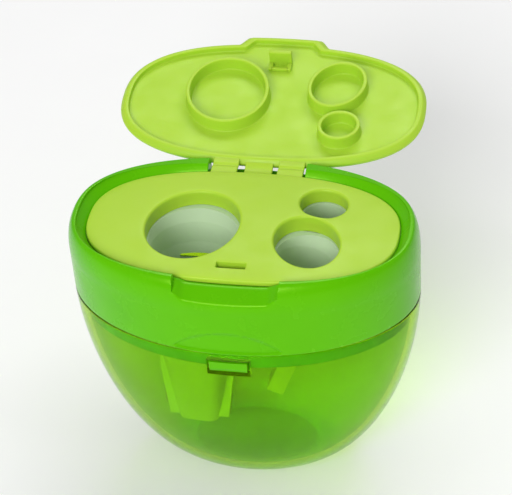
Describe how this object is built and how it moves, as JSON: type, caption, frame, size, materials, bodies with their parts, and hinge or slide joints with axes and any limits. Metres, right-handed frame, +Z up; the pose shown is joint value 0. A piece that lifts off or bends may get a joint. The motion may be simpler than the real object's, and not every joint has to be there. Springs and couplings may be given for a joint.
{
  "type": "pencil sharpener",
  "caption": "Oval three-hole pencil sharpener with a flip-open lid on film hinges over a lift-off translucent bowl that catches the shavings.",
  "frame": {"origin": "middle of the bin's flat base, on the surface it stands on", "axes": "+Z up, -Y is the front with the catch and the finger recess, +X to the right seen from the front"},
  "size_m": [0.066, 0.0759, 0.062],
  "materials": {
    "bin_plastic": "translucent green, glossy",
    "head_plastic": "opaque bright green, glossy",
    "lid_plastic": "light yellow green, satin gloss",
    "sharpener_plastic": "off-white, satin",
    "blade_steel": "ground steel",
    "screw_steel": "zinc plated"
  },
  "bodies": {
    "bin": {"shavings_bin": "bin_plastic"},
    "head": {"head_shell": "head_plastic", "deck": "lid_plastic", "hinge_film_left": "lid_plastic", "hinge_film_right": "lid_plastic", "hinge_snap_strap": "lid_plastic", "sharpener_body_large": "sharpener_plastic", "blade_large": "blade_steel", "blade_screw_large": "screw_steel", "sharpener_body_medium": "sharpener_plastic", "blade_medium": "blade_steel", "blade_screw_medium": "screw_steel", "sharpener_body_small": "sharpener_plastic", "blade_small": "blade_steel", "blade_screw_small": "screw_steel"},
    "catch": {"catch_tongue": "head_plastic"},
    "lid": {"lid": "lid_plastic"}
  },
  "joints": [
    {"name": "head_lift", "type": "slide", "parent": "bin", "child": "head", "axis": [0, 0, 1], "range_m": [0, 0.045], "deforming": ["catch_tongue"]},
    {"name": "lid_hinge", "type": "hinge", "parent": "head", "child": "lid", "pos_m": [0, 0.0181, 0.05535], "axis": [1, 0, 0], "range_deg": [0, 171], "deforming": ["hinge_film_left", "hinge_film_right", "hinge_snap_strap"]},
    {"name": "catch_flex", "type": "hinge", "parent": "head", "child": "catch", "pos_m": [0, -0.0177, 0.0446], "axis": [1, 0, 0], "range_deg": [0, 11], "stiffness_Nm_per_rad": 0.02}
  ]
}
